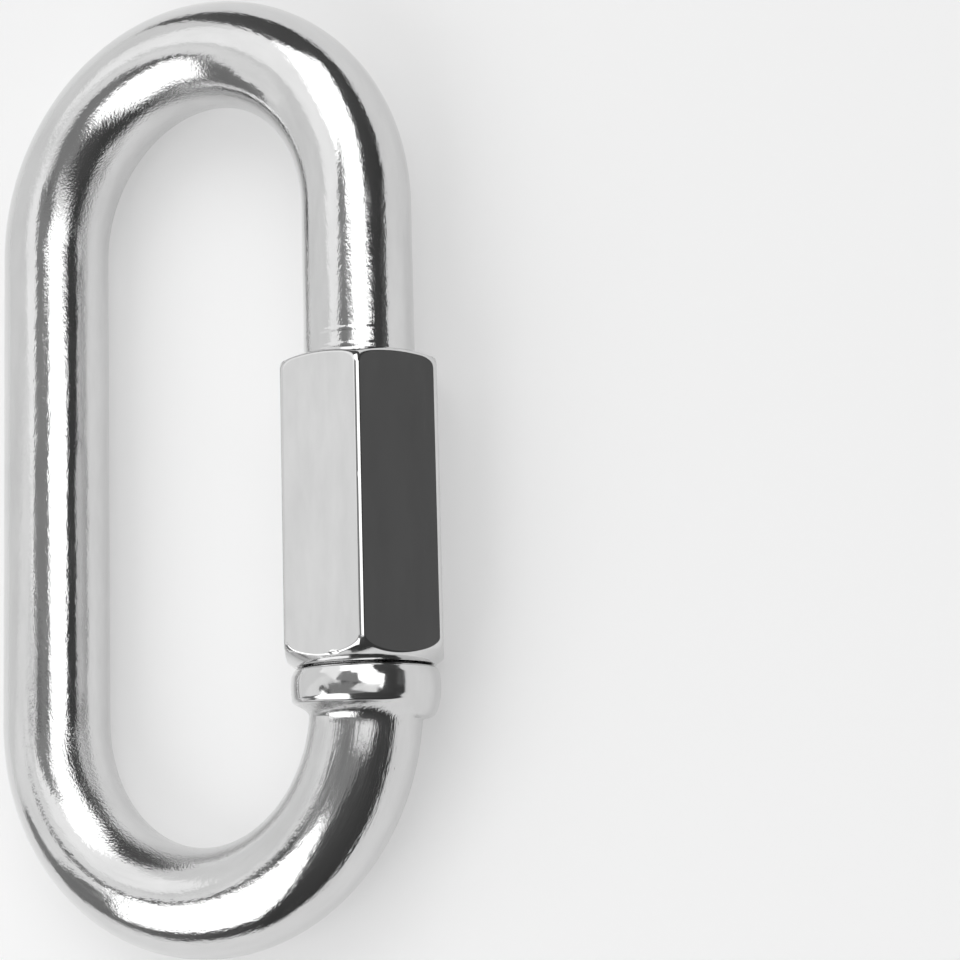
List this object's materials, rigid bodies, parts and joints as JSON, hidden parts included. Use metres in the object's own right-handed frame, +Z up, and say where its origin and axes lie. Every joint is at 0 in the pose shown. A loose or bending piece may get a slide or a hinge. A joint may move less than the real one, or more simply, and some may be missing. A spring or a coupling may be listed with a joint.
{
  "type": "quick link",
  "caption": "Oval screw link: a bent round rod closed by a long hexagonal sleeve nut that runs down on a stop collar.",
  "frame": {"origin": "on the floor, under the middle of the outline as the link lies at rest", "axes": "+Z up; +Y along the two legs, away from the stop collar; +X toward the leg with the nut"},
  "size_m": [0.0378, 0.0715, 0.0114],
  "materials": {
    "body_steel": "polished stainless steel rod with a slightly grainy mirror finish",
    "nut_steel": "mirror-polished stainless steel, flat faces and softly rounded edges"
  },
  "bodies": {
    "link_body": {"link_body": "body_steel"},
    "sleeve_nut": {"sleeve_nut": "nut_steel"}
  },
  "joints": [
    {"name": "nut_travel", "type": "slide", "parent": "link_body", "child": "sleeve_nut", "axis": [0, 1, 0], "range_m": [0, 0.014]}
  ]
}
